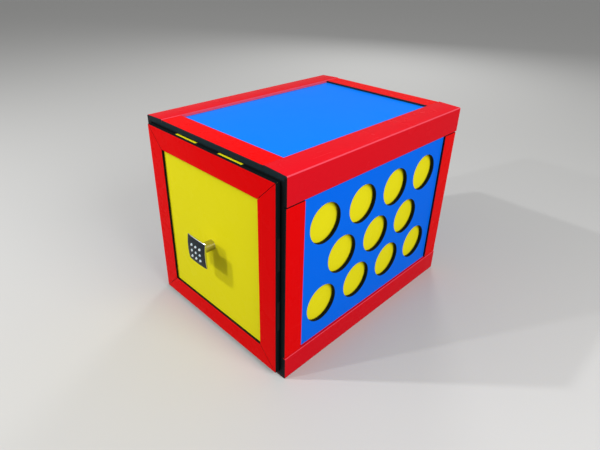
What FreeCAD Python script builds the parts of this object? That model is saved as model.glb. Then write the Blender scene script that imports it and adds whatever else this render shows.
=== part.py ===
"""Magic drawer chest: a perforated casing, a drawer with a framed front, and a tray nested in the drawer.

Millimetres, +Z up. The drawer opens towards -Y. The origin is the middle of the footprint of the closed
chest, knobs included, on the surface that it stands on. Depths below are counted from the casing's front
plane and are moved to the origin by places.front_y.
"""

import FreeCAD, Part
import os

import Sketcher

doc = FreeCAD.newDocument("magic_drawer_chest")

# ---------------------------------------------------------------- driving dimensions
SIZES = [
    ("chest_width", 229, "over the corner trims"),
    ("chest_height", 240, "over the heels of the corner trims"),
    ("chest_depth", 298, "front plane to rear plane of the casing"),
    ("board", 4, "boards of the casing and the drawer"),
    ("strip", 2.8, "thickness of every flat trim strip"),
    ("trim_flange", 30.4, "width of a corner trim's flange"),
    ("trim_low_flange", 28.4, "width of the upright flange of a lower corner trim"),
    ("trim_side", 3.4, "thickness of an upright flange"),
    ("trim_level", 2.1, "thickness of a level flange at the heel"),
    ("trim_toe", 3.5, "thickness of an upper flange at its toe"),
    ("trim_heel_radius", 1.4, "outer corner of the corner trim"),
    ("trim_toe_radius", 0.8, "outer edge of each toe"),
    ("top_strip", 25.4, "width of the strips across the top"),
    ("side_strip", 24.4, "width of the upright strips"),
    ("strip_end_gap", 0.2, "between the end of a strip and a corner trim"),
    ("side_strip_top_gap", 0.9, "above an upright strip"),
    ("frame_strip", 24.4, "width of the mitred frame strips"),
    ("hole_diameter", 45, "round holes of the side panels"),
    ("hole_pitch_long", 60, "between holes of one row"),
    ("hole_pitch_high", 50, "between rows"),
    ("hole_margin", 3, "least web between a hole and a trim"),
    ("hole_field_shift", 1.6, "the field of holes sits this much in front of the middle"),
    ("drawer_side_gap", 1.3, "play beside the drawer"),
    ("drawer_run_gap", 0.3, "under the drawer"),
    ("drawer_top_gap", 1.5, "over the drawer"),
    ("drawer_proud", 5.6, "the closed drawer stands out of the casing by this"),
    ("drawer_stop_gap", 0.5, "between the drawer's rear ends and the back panel"),
    ("top_rail_depth", 30, "drawer top rail, front to back"),
    ("tab_width", 37, "tabs of the drawer boards in its front panel"),
    ("tab_offset", 18.5, "from the middle of the edge to a tab"),
    ("knob_plate", 31.6, "square side"),
    ("knob_plate_edge", 1.8, "thickness at its upper and lower edges"),
    ("knob_bulge", 1.3, "bow of its face"),
    ("knob_standoff", 20.2, "front panel to the edge of the plate's face"),
    ("knob_stem_diameter", 12, ""),
    ("knob_foot_diameter", 12.4, "collar of the stem at the front panel"),
    ("knob_foot_height", 1, ""),
    ("knob_foot_slope", 0.2, "height of the cone over the collar"),
    ("crystal_diameter", 3.4, "at the seat"),
    ("crystal_table", 1.7, "diameter of its flat top"),
    ("crystal_fit", 0.05, "radial clearance in its seat"),
    ("crystal_pitch", 7.2, ""),
    ("crystal_drop", 1.2, "middle crystal below the middle of the plate"),
    ("crystal_depth", 1.0, "set into the plate"),
    ("crystal_rise", 0.6, "stands out of the crown of the plate"),
    ("knob_screw_diameter", 4, ""),
    ("knob_screw_grip", 9, "length in the stem"),
    ("knob_screw_head", 8, "diameter"),
    ("knob_screw_head_height", 2.4, ""),
    ("knob_washer", 11, "outer diameter"),
    ("knob_washer_thickness", 1, ""),
    ("screw_fit", 0.1, "radial clearance of a screw in its hole"),
    ("bore_end_gap", 1, "past the end of a screw in a blind hole"),
    ("tray_board", 3, "boards of the inner tray"),
    ("tray_side_gap", 1, "between the tray and the drawer's sides"),
    ("tray_run_gap", 0.2, "under the tray"),
    ("tray_front_gap", 5, "clears the head of the knob screw"),
    ("tray_top_gap", 1.2, "between the tray and the drawer's top rail"),
    ("catch_space", 22, "behind the tray, for the catch"),
    ("catch_height", 150, "spindle over the floor that the chest stands on"),
    ("spindle_diameter", 5, ""),
    ("shoulder_diameter", 9, "of the spindle, inside the casing"),
    ("turning_fit", 0.06, "radial clearance of the spindle in its bush"),
    ("end_play", 0.3, "along the spindle at each end of the bush"),
    ("bush_diameter", 8, ""),
    ("bush_flange_diameter", 14, ""),
    ("bush_flange", 1, "thickness"),
    ("blade", 2.5, "thickness"),
    ("blade_width", 9, ""),
    ("blade_length", 23, "spindle axis to the tip"),
    ("blade_tip_width", 3, ""),
    ("blade_tip_slope", 3, "length of the tip's bevels"),
    ("blade_gap", 6.6, "between the tray and the blade"),
    ("blade_hub_diameter", 14, ""),
    ("blade_screw_diameter", 3, ""),
    ("blade_screw_grip", 8, "length in the spindle"),
    ("blade_screw_head", 6, "diameter"),
    ("blade_screw_head_height", 1.8, ""),
    ("turn_knob_diameter", 22, ""),
    ("turn_knob_base", 3.2, "thickness of its disc"),
    ("turn_knob_grip", 4.5, "height of the grip over the disc"),
    ("turn_knob_grip_width", 5, ""),
    ("turn_knob_grip_inset", 1, "from the rim of the disc to the ends of the grip"),
    ("turn_knob_rounding", 1.2, "edges of the grip"),
    ("turn_knob_bore", 6, "how far the spindle goes into it"),
    ("strike", 1.5, "sheet of the bent strike"),
    ("strike_height", 16, ""),
    ("strike_reach", 12, "length of its lip"),
    ("strike_web_gap", 1, "between the blade's tip and the web"),
    ("strike_foot", 15, "length of its foot on the tray"),
    ("strike_blade_gap", 0.4, "between the blade and the lip"),
    ("strike_screw_diameter", 2.5, ""),
    ("strike_screw_head", 5, "diameter"),
    ("strike_screw_head_height", 1.4, ""),
    ("strike_screw_spacing", 9, ""),
]

# Places that follow from the sizes. Heights are from the floor, depths from the casing's front plane.
PLACES = [
    ("carcass_x", "sizes.chest_width / 2 - sizes.trim_side", "outer face of a side panel"),
    ("carcass_top", "sizes.chest_height - sizes.trim_level", "upper face of the top panel"),
    ("inner_x", "carcass_x - sizes.board", "inner face of a side panel"),
    ("floor_z", "sizes.trim_level + sizes.board", "upper face of the bottom panel"),
    ("ceiling_z", "carcass_top - sizes.board", "lower face of the top panel"),
    ("back_outer", "sizes.chest_depth - sizes.strip", "rear face of the back panel"),
    ("back_inner", "back_outer - sizes.board", "front face of the back panel"),
    ("toe_x", "sizes.chest_width / 2 - sizes.trim_flange", "toe of a trim on the top or bottom"),
    ("toe_low_z", "sizes.trim_low_flange", "toe of a lower trim on a side"),
    ("toe_high_z", "sizes.chest_height - sizes.trim_flange", "toe of an upper trim on a side"),
    ("drawer_x", "inner_x - sizes.drawer_side_gap", "outer face of a drawer side"),
    ("drawer_inner_x", "drawer_x - sizes.board", "inner face of a drawer side"),
    ("drawer_low_z", "floor_z + sizes.drawer_run_gap", "underside of the drawer"),
    ("drawer_high_z", "ceiling_z - sizes.drawer_top_gap", "top of the drawer"),
    ("drawer_mid_z", "(drawer_low_z + drawer_high_z) / 2", "middle of the drawer front"),
    ("drawer_floor_z", "drawer_low_z + sizes.board", "upper face of the drawer bottom"),
    ("rail_low_z", "drawer_high_z - sizes.board", "underside of the drawer's top rail"),
    ("panel_face", "sizes.strip - sizes.drawer_proud", "face of the drawer's front panel"),
    ("panel_back", "panel_face + sizes.board", "rear face of the drawer's front panel"),
    ("drawer_rear", "back_inner - sizes.drawer_stop_gap", "rear ends of the drawer boards"),
    ("tray_x", "drawer_inner_x - sizes.tray_side_gap", "outer face of a tray side"),
    ("tray_low_z", "drawer_floor_z + sizes.tray_run_gap", "underside of the tray"),
    ("tray_floor_z", "tray_low_z + sizes.tray_board", "upper face of the tray bottom"),
    ("tray_high_z", "rail_low_z - sizes.tray_top_gap", "top of the tray"),
    ("tray_front", "panel_back + sizes.tray_front_gap", "front face of the tray"),
    ("tray_rear", "back_inner - sizes.catch_space", "rear face of the tray"),
    ("plate_edge", "panel_face - sizes.knob_standoff", "upper and lower edge of the knob's face"),
    ("plate_crown", "plate_edge - sizes.knob_bulge", "foremost line of the knob's face"),
    ("plate_back", "plate_edge + sizes.knob_plate_edge", "rear face of the knob plate"),
    ("shoulder_end", "back_inner - sizes.end_play", "rear end of the spindle's shoulder"),
    ("blade_front", "tray_rear + sizes.blade_gap", "front face of the catch blade"),
    ("blade_rear", "blade_front + sizes.blade", "rear face of the catch blade"),
    ("lip_front", "blade_rear + sizes.strike_blade_gap", "front face of the strike's lip"),
    ("web_x", "sizes.blade_length + sizes.strike_web_gap", "inner face of the strike's web"),
    ("turn_knob_front", "back_outer + sizes.bush_flange + sizes.end_play", "front face of the turn knob"),
    ("rear_end", "turn_knob_front + sizes.turn_knob_base + sizes.turn_knob_grip", "rearmost face"),
    ("front_end", "plate_crown - sizes.crystal_rise", "foremost point, on the middle row of crystals"),
    ("front_y", "-(rear_end + front_end) / 2", "the casing's front plane, from the origin"),
    ("hole_window_long", "sizes.chest_depth - 2 * sizes.side_strip", "clear length"),
    ("hole_window_high", "toe_high_z - toe_low_z", "clear height"),
    ("long_row_holes",
     "floor((hole_window_long - sizes.hole_diameter - 2 * sizes.hole_margin) / sizes.hole_pitch_long) + 1",
     "holes in a long row"),
    ("hole_rows",
     "floor((hole_window_high - sizes.hole_diameter - 2 * sizes.hole_margin) / sizes.hole_pitch_high) + 1",
     "rows of holes"),
    ("hole_mid_depth", "sizes.chest_depth / 2 - sizes.hole_field_shift", "middle of the field of holes"),
]

sizes = doc.addObject("Spreadsheet::Sheet", "sizes")
for row, (alias, value, note) in enumerate(SIZES, start=1):
    sizes.set(f"A{row}", alias)
    sizes.set(f"B{row}", str(value))
    sizes.setAlias(f"B{row}", alias)
    sizes.set(f"C{row}", note)

places = doc.addObject("Spreadsheet::Sheet", "places")
for row, (alias, formula, note) in enumerate(PLACES, start=1):
    places.set(f"A{row}", alias)
    places.set(f"B{row}", "=" + formula)
    places.setAlias(f"B{row}", alias)
    places.set(f"C{row}", note)
doc.recompute()

UP = FreeCAD.Vector(0, 0, 1)
REARWARD = FreeCAD.Vector(0, 1, 0)
ACROSS = FreeCAD.Vector(1, 0, 0)
LEAST_CUT = 1.0
sub_parts = []


# ---------------------------------------------------------------- helpers
def number(expression):
    """The present value of an expression on the two sheets."""
    value = places.evalExpression(expression)
    return float(getattr(value, "Value", value))


def put(obj, x, y, z, axis=UP, angle=0):
    """Places a sub-part: y is a depth behind the casing's front plane."""
    obj.Placement = FreeCAD.Placement(FreeCAD.Vector(), FreeCAD.Rotation(axis, angle))
    obj.setExpression("Placement.Base.x", x)
    obj.setExpression("Placement.Base.y", f"places.front_y + ({y})")
    obj.setExpression("Placement.Base.z", z)


def finish(obj, name):
    obj.Label = name
    sub_parts.append(obj)
    return obj


def slab(name, x, y, z):
    """A plain board or strip between two places each way."""
    box = doc.addObject("Part::Box", name + "_slab")
    for prop, (low, high) in (("Length", x), ("Width", y), ("Height", z)):
        box.setExpression(prop, f"({high}) - ({low})")
    put(box, x[0], y[0], z[0])
    return finish(box, name)


def new_body(name):
    return doc.addObject("PartDesign::Body", name + "_body")


def new_sketch(body, name, plane):
    sketch = body.newObject("Sketcher::SketchObject", name)
    origin = next(f for f in body.Origin.OriginFeatures if f.Role == plane)
    sketch.AttachmentSupport = (origin, [""])
    sketch.MapMode = "FlatFace"
    return sketch


def pin_point(sketch, curve, end, across, along):
    """Holds one point of a curve at a place given by two expressions."""
    for kind, expression in (("DistanceX", across), ("DistanceY", along)):
        index = sketch.addConstraint(Sketcher.Constraint(kind, -1, 1, curve, end, number(expression)))
        sketch.setExpression(f"Constraints[{index}]", expression)


def add_outline(sketch, points):
    """A closed outline of straight lines, each corner held by expressions."""
    corners = [FreeCAD.Vector(number(a), number(b), 0) for a, b in points]
    first = sketch.GeometryCount
    count = len(corners)
    for i in range(count):
        sketch.addGeometry(Part.LineSegment(corners[i], corners[(i + 1) % count]), False)
    for i in range(count):
        sketch.addConstraint(
            Sketcher.Constraint("Coincident", first + i, 2, first + (i + 1) % count, 1))
    for i, (across, along) in enumerate(points):
        pin_point(sketch, first + i, 1, across, along)


def add_rectangle(sketch, across, along):
    add_outline(sketch, [(across[0], along[0]), (across[1], along[0]),
                         (across[1], along[1]), (across[0], along[1])])


def add_circle(sketch, across, along, diameter):
    centre = FreeCAD.Vector(number(across), number(along), 0)
    curve = sketch.addGeometry(Part.Circle(centre, UP, number(diameter) / 2), False)
    pin_point(sketch, curve, 3, across, along)
    index = sketch.addConstraint(Sketcher.Constraint("Diameter", curve, number(diameter)))
    sketch.setExpression(f"Constraints[{index}]", diameter)


def pad(body, sketch, length, reverse=False):
    feature = body.newObject("PartDesign::Pad", sketch.Name + "_pad")
    feature.Profile = sketch
    feature.Reversed = reverse
    feature.setExpression("Length", length)
    doc.recompute()
    return feature


def pocket(body, sketch, depth, reverse=False):
    """Cuts a sketch out of the body and checks that the cut took something away."""
    before = body.Shape.Volume
    feature = body.newObject("PartDesign::Pocket", sketch.Name + "_pocket")
    feature.Profile = sketch
    feature.Reversed = reverse
    feature.setExpression("Length", depth)
    doc.recompute()
    if before - body.Shape.Volume < LEAST_CUT:
        raise RuntimeError(sketch.Name + " cuts nothing")
    return feature


def row_of(body, sketch, feature, count, pitch):
    """Repeats a feature along its sketch's own horizontal axis."""
    pattern = body.newObject("PartDesign::LinearPattern", sketch.Name + "_row")
    pattern.Originals = [feature]
    pattern.Direction = (sketch, ["H_Axis"])
    pattern.setExpression("Length", f"({pitch}) * ({count} - 1)")
    pattern.setExpression("Occurrences", count)
    body.Tip = pattern
    doc.recompute()
    return pattern


def round_edges(body, radius, wanted):
    """Rounds the edges of the body's last feature whose middle satisfies wanted(point)."""
    base = body.Tip
    names = [f"Edge{i}" for i, edge in enumerate(base.Shape.Edges, start=1)
             if wanted(edge, edge.valueAt((edge.FirstParameter + edge.LastParameter) / 2))]
    if not names:
        raise RuntimeError(body.Name + " has no such edge")
    feature = body.newObject("PartDesign::Fillet", body.Name + "_rounding")
    feature.Base = (base, names)
    feature.setExpression("Radius", radius)
    doc.recompute()
    return feature


def turned(name, outline):
    """A turned piece: its outline is radius against height, spun about the body's own Z axis."""
    body = new_body(name)
    sketch = new_sketch(body, name + "_outline", "XZ_Plane")
    add_outline(sketch, outline)
    spin = body.newObject("PartDesign::Revolution", name + "_spin")
    spin.Profile = sketch
    spin.ReferenceAxis = (sketch, ["V_Axis"])
    spin.Angle = 360
    doc.recompute()
    return body


def bored(diameter, fit="0"):
    """Radius of a hole that takes a round thing with some play."""
    return f"{diameter} / 2 + {fit}"


# ---------------------------------------------------------------- casing boards
FRONT = "0"
casing_length = (FRONT, "places.back_inner")
carcass_width = ("-places.carcass_x", "places.carcass_x")

slab("casing_top_panel", carcass_width, casing_length, ("places.ceiling_z", "places.carcass_top"))
slab("casing_bottom_panel", carcass_width, casing_length, ("sizes.trim_level", "places.floor_z"))


def perforated_panel(name, left_face):
    """A side panel with rows of round holes. Every second row is one hole shorter and half a pitch on."""
    body = new_body(name)
    blank = new_sketch(body, name + "_blank", "YZ_Plane")
    add_rectangle(blank, casing_length, ("places.floor_z", "places.ceiling_z"))
    pad(body, blank, "sizes.board")
    for line in range(int(number("places.hole_rows"))):
        shorter = line % 2
        count = f"places.long_row_holes - {shorter}"
        drill = new_sketch(body, f"{name}_drill_{line + 1}", "YZ_Plane")
        add_circle(drill,
                   f"places.hole_mid_depth - ({count} - 1) * sizes.hole_pitch_long / 2",
                   f"sizes.chest_height / 2 + (places.hole_rows - 1 - {2 * line}) * sizes.hole_pitch_high / 2",
                   "sizes.hole_diameter")
        hole = pocket(body, drill, "sizes.board", reverse=True)
        row_of(body, drill, hole, count, "sizes.hole_pitch_long")
    put(body, left_face, FRONT, "0")
    return finish(body, name)


perforated_panel("casing_left_panel", "-places.carcass_x")
perforated_panel("casing_right_panel", "places.inner_x")

back = new_body("casing_back_panel")
back_blank = new_sketch(back, "back_blank", "XZ_Plane")
add_rectangle(back_blank, carcass_width, ("sizes.trim_level", "places.carcass_top"))
pad(back, back_blank, "sizes.board", reverse=True)
back_bore = new_sketch(back, "back_bore", "XZ_Plane")
add_circle(back_bore, "0", "sizes.catch_height", "sizes.bush_diameter")
pocket(back, back_bore, "sizes.board")
put(back, "0", "places.back_inner", "0")
finish(back, "casing_back_panel")


# ---------------------------------------------------------------- corner trims and flat strips
def corner_trim(name, side, level):
    """An angle along one long edge. An upper flange thickens from the heel to the toe and so stands a little
    proud of the flat strips. A flange under the chest stays flat, because the chest stands on it."""
    rise = "0" if level < 0 else "sizes.trim_toe - sizes.trim_level"
    upright = "sizes.trim_low_flange" if level < 0 else "sizes.trim_flange"
    corners = [
        ("0", "0"),
        ("-sizes.trim_flange", rise),
        ("-sizes.trim_flange", "-sizes.trim_level"),
        ("-sizes.trim_side", "-sizes.trim_level"),
        ("-sizes.trim_side", f"-{upright}"),
        ("0", f"-{upright}"),
    ]
    body = new_body(name)
    section = new_sketch(body, name + "_section", "XZ_Plane")
    add_outline(section, [(f"{side} * ({a})", f"{level} * ({b})") for a, b in corners])
    pad(body, section, "sizes.chest_depth", reverse=True)

    def lengthways(edge):
        return abs(edge.BoundBox.YLength - number("sizes.chest_depth")) < 1e-6

    def at(point, across, along):
        return abs(point.x - side * across) < 1e-6 and abs(point.z - level * along) < 1e-6

    round_edges(body, "sizes.trim_heel_radius", lambda edge, mid: lengthways(edge) and at(mid, 0, 0))
    toes = [(0, -number(upright))]
    if level > 0:
        toes.append((-number("sizes.trim_flange"), number(rise)))
    round_edges(body, "sizes.trim_toe_radius",
                lambda edge, mid: lengthways(edge) and any(at(mid, a, b) for a, b in toes))
    put(body, f"{side} * sizes.chest_width / 2", FRONT, "sizes.chest_height" if level > 0 else "0")
    return finish(body, name)


for side, side_name in ((-1, "left"), (1, "right")):
    corner_trim(f"top_{side_name}_corner_trim", side, 1)
    corner_trim(f"bottom_{side_name}_corner_trim", side, -1)

top_strip_x = ("-places.toe_x + sizes.strip_end_gap", "places.toe_x - sizes.strip_end_gap")
top_strip_z = ("places.carcass_top", "places.carcass_top + sizes.strip")
side_strip_z = ("places.toe_low_z + sizes.strip_end_gap", "places.toe_high_z - sizes.side_strip_top_gap")
slab("top_front_strip", top_strip_x, (FRONT, "sizes.top_strip"), top_strip_z)
slab("top_rear_strip", top_strip_x, ("sizes.chest_depth - sizes.top_strip", "sizes.chest_depth"), top_strip_z)
for side_name, side_strip_x in (
        ("left", ("-places.carcass_x - sizes.strip", "-places.carcass_x")),
        ("right", ("places.carcass_x", "places.carcass_x + sizes.strip"))):
    slab(f"{side_name}_front_strip", side_strip_x, (FRONT, "sizes.side_strip"), side_strip_z)
    slab(f"{side_name}_rear_strip", side_strip_x,
         ("sizes.chest_depth - sizes.side_strip", "sizes.chest_depth"), side_strip_z)


def mitred_frame(name, rear_face, half_width, low, high):
    """Four strips with mitred ends, laid round the edge of a panel."""
    middle = f"(({low}) + ({high})) / 2"
    across = f"2 * ({half_width})"
    upright = f"({high}) - ({low})"
    for place, length, x, z, angle in (
            ("bottom", across, "0", low, 0),
            ("top", across, "0", high, 180),
            ("left", upright, f"-({half_width})", middle, 90),
            ("right", upright, half_width, middle, -90)):
        strip_name = f"{name}_{place}"
        body = new_body(strip_name)
        face = new_sketch(body, strip_name + "_face", "XZ_Plane")
        half = f"({length}) / 2"
        add_outline(face, [(f"-{half}", "0"), (half, "0"),
                           (f"{half} - sizes.frame_strip", "sizes.frame_strip"),
                           (f"-{half} + sizes.frame_strip", "sizes.frame_strip")])
        pad(body, face, "sizes.strip")
        put(body, x, rear_face, z, REARWARD, angle)
        finish(body, strip_name)


mitred_frame("back_frame", "sizes.chest_depth", "places.carcass_x", "sizes.trim_level", "places.carcass_top")


# ---------------------------------------------------------------- drawer
def tabs(middle):
    """The two stretches of a front edge that carry a tab."""
    near, far = "sizes.tab_offset", "(sizes.tab_offset + sizes.tab_width)"
    return [(f"{middle} - {far}", f"{middle} - {near}"), (f"{middle} + {near}", f"{middle} + {far}")]


def tabbed_board(name, plane, ends, rear, middle, place):
    """A drawer board whose front edge reaches through the front panel with two tabs."""
    root, tip = "places.panel_back", "places.panel_face"
    outline = [(ends[0], rear), (ends[0], root)]
    for low, high in tabs(middle):
        outline += [(low, root), (low, tip), (high, tip), (high, root)]
    outline += [(ends[1], root), (ends[1], rear)]
    if plane == "YZ_Plane":
        outline = [(depth, along) for along, depth in outline]
    body = new_body(name)
    sketch = new_sketch(body, name + "_outline", plane)
    add_outline(sketch, outline)
    pad(body, sketch, "sizes.board")
    put(body, *place)
    return finish(body, name)


drawer_inside = ("-places.drawer_inner_x", "places.drawer_inner_x")
drawer_levels = ("places.drawer_low_z", "places.drawer_high_z")
tabbed_board("drawer_left_side", "YZ_Plane", drawer_levels, "places.drawer_rear", "places.drawer_mid_z",
             ("-places.drawer_x", FRONT, "0"))
tabbed_board("drawer_right_side", "YZ_Plane", drawer_levels, "places.drawer_rear", "places.drawer_mid_z",
             ("places.drawer_inner_x", FRONT, "0"))
tabbed_board("drawer_bottom", "XY_Plane", drawer_inside, "places.drawer_rear", "0",
             ("0", FRONT, "places.drawer_low_z"))
tabbed_board("drawer_top_rail", "XY_Plane", drawer_inside,
             "places.panel_back + sizes.top_rail_depth", "0", ("0", FRONT, "places.rail_low_z"))

front_panel = new_body("drawer_front_panel")
panel_blank = new_sketch(front_panel, "panel_blank", "XZ_Plane")
add_rectangle(panel_blank, ("-places.drawer_x", "places.drawer_x"), drawer_levels)
pad(front_panel, panel_blank, "sizes.board", reverse=True)
panel_notches = new_sketch(front_panel, "panel_notches", "XZ_Plane")
for low, high in tabs("0"):
    add_rectangle(panel_notches, (low, high), ("places.drawer_low_z", "places.drawer_floor_z"))
    add_rectangle(panel_notches, (low, high), ("places.rail_low_z", "places.drawer_high_z"))
for low, high in tabs("places.drawer_mid_z"):
    add_rectangle(panel_notches, ("-places.drawer_x", "-places.drawer_inner_x"), (low, high))
    add_rectangle(panel_notches, ("places.drawer_inner_x", "places.drawer_x"), (low, high))
pocket(front_panel, panel_notches, "sizes.board")
panel_bore = new_sketch(front_panel, "panel_bore", "XZ_Plane")
add_circle(panel_bore, "0", "places.drawer_mid_z", "sizes.knob_screw_diameter + 2 * sizes.screw_fit")
pocket(front_panel, panel_bore, "sizes.board")
put(front_panel, "0", "places.panel_face", "0")
finish(front_panel, "drawer_front_panel")

mitred_frame("drawer_frame", "places.panel_face", "places.drawer_x", *drawer_levels)


# ---------------------------------------------------------------- knob
knob_place = ("0", "places.panel_face", "places.drawer_mid_z", ACROSS, 90)
stem_length = "sizes.knob_standoff - sizes.knob_plate_edge"
stem_bore = bored("sizes.knob_screw_diameter", "sizes.screw_fit")
bore_depth = "sizes.knob_screw_grip + sizes.bore_end_gap"
knob_stem = turned("knob_stem", [
    (stem_bore, "0"),
    ("sizes.knob_foot_diameter / 2", "0"),
    ("sizes.knob_foot_diameter / 2", "sizes.knob_foot_height"),
    ("sizes.knob_stem_diameter / 2", "sizes.knob_foot_height + sizes.knob_foot_slope"),
    ("sizes.knob_stem_diameter / 2", stem_length),
    ("0", stem_length),
    ("0", bore_depth),
    (stem_bore, bore_depth),
])
put(knob_stem, *knob_place)
finish(knob_stem, "knob_stem")

plate = new_body("knob_plate")
profile = new_sketch(plate, "knob_plate_profile", "YZ_Plane")
half_plate = "sizes.knob_plate / 2"
bow_radius = "(sizes.knob_plate ^ 2 / 4 + sizes.knob_bulge ^ 2) / (2 * sizes.knob_bulge)"
edge_depth, rear_depth = "sizes.knob_bulge", "sizes.knob_bulge + sizes.knob_plate_edge"
low_front = FreeCAD.Vector(number(edge_depth), -number(half_plate), 0)
high_front = FreeCAD.Vector(number(edge_depth), number(half_plate), 0)
low_rear = FreeCAD.Vector(number(rear_depth), -number(half_plate), 0)
high_rear = FreeCAD.Vector(number(rear_depth), number(half_plate), 0)
profile.addGeometry(Part.LineSegment(low_front, low_rear), False)
profile.addGeometry(Part.LineSegment(low_rear, high_rear), False)
profile.addGeometry(Part.LineSegment(high_rear, high_front), False)
profile.addGeometry(Part.Arc(high_front, FreeCAD.Vector(0, 0, 0), low_front), False)
pin_point(profile, 0, 1, edge_depth, f"-{half_plate}")
pin_point(profile, 1, 1, rear_depth, f"-{half_plate}")
pin_point(profile, 2, 1, rear_depth, half_plate)
pin_point(profile, 2, 2, edge_depth, half_plate)
for curve, end, other, other_end in ((0, 2, 1, 1), (1, 2, 2, 1), (3, 1, 2, 2), (3, 2, 0, 1)):
    profile.addConstraint(Sketcher.Constraint("Coincident", curve, end, other, other_end))
bow = profile.addConstraint(Sketcher.Constraint("Radius", 3, number(bow_radius)))
profile.setExpression(f"Constraints[{bow}]", bow_radius)
plate_pad = pad(plate, profile, "sizes.knob_plate")
plate_pad.Midplane = True
seats = new_sketch(plate, "crystal_seats", "XZ_Plane")
CRYSTAL_GRID = [(column, line) for line in (-1, 0, 1) for column in (-1, 0, 1)]
for column, line in CRYSTAL_GRID:
    add_circle(seats, f"{column} * sizes.crystal_pitch", f"{line} * sizes.crystal_pitch - sizes.crystal_drop",
               "sizes.crystal_diameter + 2 * sizes.crystal_fit")
pocket(plate, seats, "sizes.crystal_depth")
put(plate, "0", "places.plate_crown", "places.drawer_mid_z")
finish(plate, "knob_plate")

crystals = []
for index, (column, line) in enumerate(CRYSTAL_GRID, start=1):
    stone = doc.addObject("Part::Cone", f"crystal_{index}")
    stone.setExpression("Radius1", "sizes.crystal_diameter / 2")
    stone.setExpression("Radius2", "sizes.crystal_table / 2")
    stone.setExpression("Height", "sizes.crystal_depth + sizes.crystal_rise")
    put(stone, f"{column} * sizes.crystal_pitch", "places.plate_crown + sizes.crystal_depth",
        f"places.drawer_mid_z + {line} * sizes.crystal_pitch - sizes.crystal_drop", ACROSS, 90)
    crystals.append(stone)
crystal_set = doc.addObject("Part::Compound", "crystal_set")
crystal_set.Links = crystals
finish(crystal_set, "knob_crystals")


def screw(name, diameter, under_head, head, head_height):
    """A screw along +Z with a domed head whose seat is at height 0 and whose shank runs down from it."""
    shank, rim, crown = f"{diameter} / 2", f"{head} / 2", f"{head} / 3"
    return turned(name, [
        ("0", f"-({under_head})"), (shank, f"-({under_head})"), (shank, "0"), (rim, "0"),
        (rim, f"{head_height} / 2"), (crown, head_height), ("0", head_height),
    ])


washer_back = "places.panel_back + sizes.knob_washer_thickness"
knob_washer = turned("knob_washer", [
    (stem_bore, "0"), ("sizes.knob_washer / 2", "0"),
    ("sizes.knob_washer / 2", "sizes.knob_washer_thickness"), (stem_bore, "sizes.knob_washer_thickness"),
])
put(knob_washer, "0", "places.panel_back", "places.drawer_mid_z", ACROSS, -90)
finish(knob_washer, "knob_washer")
knob_screw = screw("knob_screw", "sizes.knob_screw_diameter",
                   "sizes.knob_screw_grip + sizes.board + sizes.knob_washer_thickness",
                   "sizes.knob_screw_head", "sizes.knob_screw_head_height")
put(knob_screw, "0", washer_back, "places.drawer_mid_z", ACROSS, -90)
finish(knob_screw, "knob_screw")


# ---------------------------------------------------------------- inner tray
tray_width = ("-places.tray_x", "places.tray_x")
tray_walls_z = ("places.tray_floor_z", "places.tray_high_z")
front_wall = ("places.tray_front", "places.tray_front + sizes.tray_board")
rear_wall = ("places.tray_rear - sizes.tray_board", "places.tray_rear")
slab("tray_bottom", tray_width, ("places.tray_front", "places.tray_rear"),
     ("places.tray_low_z", "places.tray_floor_z"))
slab("tray_front", tray_width, front_wall, tray_walls_z)
slab("tray_left_side", ("-places.tray_x", "-places.tray_x + sizes.tray_board"),
     (front_wall[1], rear_wall[0]), tray_walls_z)
slab("tray_right_side", ("places.tray_x - sizes.tray_board", "places.tray_x"),
     (front_wall[1], rear_wall[0]), tray_walls_z)

strike_screw_x = "-(places.web_x + sizes.strike + sizes.strike_foot / 2)"
STRIKE_SCREWS = [f"sizes.catch_height + {way} * sizes.strike_screw_spacing / 2" for way in (-1, 1)]
strike_hole = "sizes.strike_screw_diameter + 2 * sizes.screw_fit"

tray_back = new_body("tray_back")
tray_back_blank = new_sketch(tray_back, "tray_back_blank", "XZ_Plane")
add_rectangle(tray_back_blank, tray_width, tray_walls_z)
pad(tray_back, tray_back_blank, "sizes.tray_board")
tray_back_holes = new_sketch(tray_back, "tray_back_holes", "XZ_Plane")
for height in STRIKE_SCREWS:
    add_circle(tray_back_holes, strike_screw_x, height, strike_hole)
pocket(tray_back, tray_back_holes, "sizes.tray_board", reverse=True)
put(tray_back, "0", "places.tray_rear", "0")
finish(tray_back, "tray_back")


# ---------------------------------------------------------------- catch
catch_axis = ("0", "sizes.catch_height")
bush_bore = bored("sizes.spindle_diameter", "sizes.turning_fit")
bush = turned("catch_bush", [
    (bush_bore, "0"), ("sizes.bush_diameter / 2", "0"), ("sizes.bush_diameter / 2", "sizes.board"),
    ("sizes.bush_flange_diameter / 2", "sizes.board"),
    ("sizes.bush_flange_diameter / 2", "sizes.board + sizes.bush_flange"),
    (bush_bore, "sizes.board + sizes.bush_flange"),
])
put(bush, catch_axis[0], "places.back_inner", catch_axis[1], ACROSS, -90)
finish(bush, "catch_bush")

shoulder = "places.shoulder_end - places.blade_rear"
spindle_length = "places.turn_knob_front + sizes.turn_knob_bore - places.blade_rear"
thread = bored("sizes.blade_screw_diameter", "sizes.screw_fit")
thread_depth = "sizes.blade_screw_grip + sizes.bore_end_gap"
spindle = turned("catch_spindle", [
    (thread, "0"), ("sizes.shoulder_diameter / 2", "0"), ("sizes.shoulder_diameter / 2", shoulder),
    ("sizes.spindle_diameter / 2", shoulder), ("sizes.spindle_diameter / 2", spindle_length),
    ("0", spindle_length), ("0", thread_depth), (thread, thread_depth),
])
put(spindle, catch_axis[0], "places.blade_rear", catch_axis[1], ACROSS, -90)
finish(spindle, "catch_spindle")

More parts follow.
